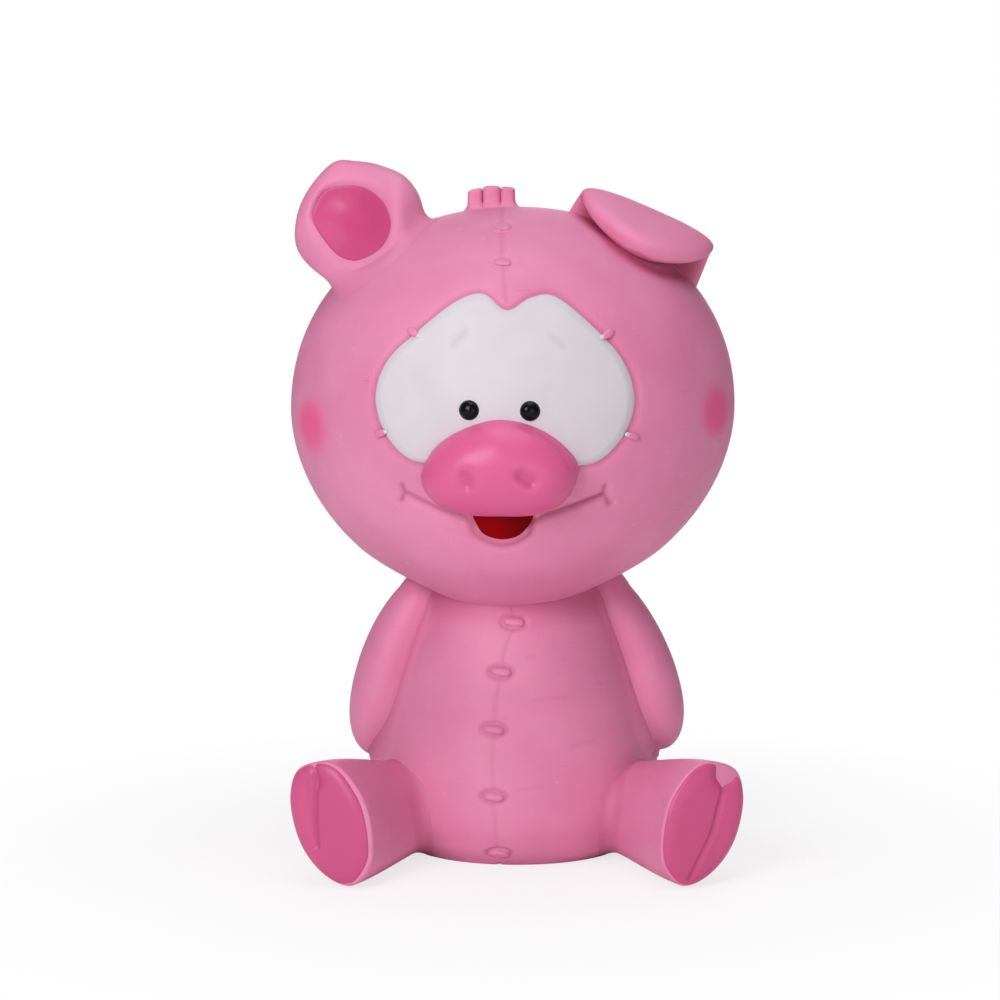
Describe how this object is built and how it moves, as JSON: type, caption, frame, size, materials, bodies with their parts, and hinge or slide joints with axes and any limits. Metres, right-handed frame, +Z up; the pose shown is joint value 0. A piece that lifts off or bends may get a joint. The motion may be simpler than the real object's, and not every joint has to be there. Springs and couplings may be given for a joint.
{
  "type": "squeaky pig toy",
  "caption": "Sitting toy pig of hollow soft latex, with a head that turns, limbs and ears that bend, and a belly that is pressed to blow a reed squeaker plugged into its base.",
  "frame": {"origin": "on the floor, under the middle of the toy's bounding box", "axes": "+Z up from the base to the ears; the face looks along -Y; the pig's own left side is at +X"},
  "size_m": [0.0882, 0.0897, 0.1376],
  "materials": {
    "pink_latex": "matt moulded latex with a woven grain",
    "deep_pink_paint": "satin latex paint",
    "ear_lining_paint": "satin latex paint",
    "white_paint": "satin latex paint",
    "mouth_red_paint": "satin latex paint",
    "black_gloss": "gloss",
    "squeaker_plastic": "moulded",
    "reed_film": "thin sheet"
  },
  "bodies": {
    "torso": {"torso_shell": "pink_latex", "tail": "pink_latex", "squeaker_housing": "squeaker_plastic", "reed_plate": "squeaker_plastic", "reed_clamp": "squeaker_plastic", "squeaker_cap": "squeaker_plastic"},
    "belly": {"belly_panel": "pink_latex"},
    "head": {"head_shell": "pink_latex", "snout": "deep_pink_paint", "tongue": "mouth_red_paint", "eye_patch": "white_paint", "right_eye": "black_gloss", "left_eye": "black_gloss", "hair_tuft": "pink_latex", "left_ear_root": "pink_latex"},
    "upright_ear": {"right_ear": "pink_latex", "right_ear_lining": "ear_lining_paint"},
    "folded_ear": {"left_ear_flap": "pink_latex"},
    "right_arm": {"right_arm": "pink_latex"},
    "left_arm": {"left_arm": "pink_latex"},
    "right_leg": {"right_leg": "pink_latex", "right_sole": "deep_pink_paint"},
    "left_leg": {"left_leg": "pink_latex", "left_sole": "deep_pink_paint"},
    "reed": {"reed": "reed_film"}
  },
  "joints": [
    {"name": "belly_squeeze", "type": "slide", "parent": "torso", "child": "belly", "axis": [0, 1, 0], "range_m": [0, 0.01], "stiffness_N_per_m": 500},
    {"name": "head_turn", "type": "hinge", "parent": "torso", "child": "head", "pos_m": [0, 0.00413, 0.0524], "axis": [0, 0, 1], "range_deg": [-20, 20], "stiffness_Nm_per_rad": 0.15},
    {"name": "right_ear_bend", "type": "hinge", "parent": "head", "child": "upright_ear", "pos_m": [-0.02749, 0.00977, 0.12179], "axis": [-0.848, 0.0444, -0.5281], "range_deg": [0, 25], "stiffness_Nm_per_rad": 0.02},
    {"name": "left_ear_lift", "type": "hinge", "parent": "head", "child": "folded_ear", "pos_m": [0.02575, -0.00122, 0.12584], "axis": [-0.9165, 0.048, 0.3971], "range_deg": [0, 40], "stiffness_Nm_per_rad": 0.02},
    {"name": "right_arm_lift", "type": "hinge", "parent": "torso", "child": "right_arm", "pos_m": [-0.016, 0.00563, 0.0525], "axis": [0, 1, 0], "range_deg": [0, 10], "stiffness_Nm_per_rad": 0.04},
    {"name": "left_arm_lift", "type": "hinge", "parent": "torso", "child": "left_arm", "pos_m": [0.0172, 0.00563, 0.0525], "axis": [0, -1, 0], "range_deg": [0, 10], "stiffness_Nm_per_rad": 0.04},
    {"name": "right_leg_lift", "type": "hinge", "parent": "torso", "child": "right_leg", "pos_m": [-0.0183, 0.00413, 0.022], "axis": [-0.9239, 0.3827, 0], "range_deg": [0, 8], "stiffness_Nm_per_rad": 0.08},
    {"name": "left_leg_lift", "type": "hinge", "parent": "torso", "child": "left_leg", "pos_m": [0.0197, 0.00413, 0.022], "axis": [-0.9239, -0.3827, 0], "range_deg": [0, 8], "stiffness_Nm_per_rad": 0.08},
    {"name": "reed_flutter", "type": "hinge", "parent": "torso", "child": "reed", "pos_m": [-0.0048, 0.00413, 0.0071], "axis": [0, -1, 0], "range_deg": [-3, 5], "stiffness_Nm_per_rad": 0.001}
  ]
}
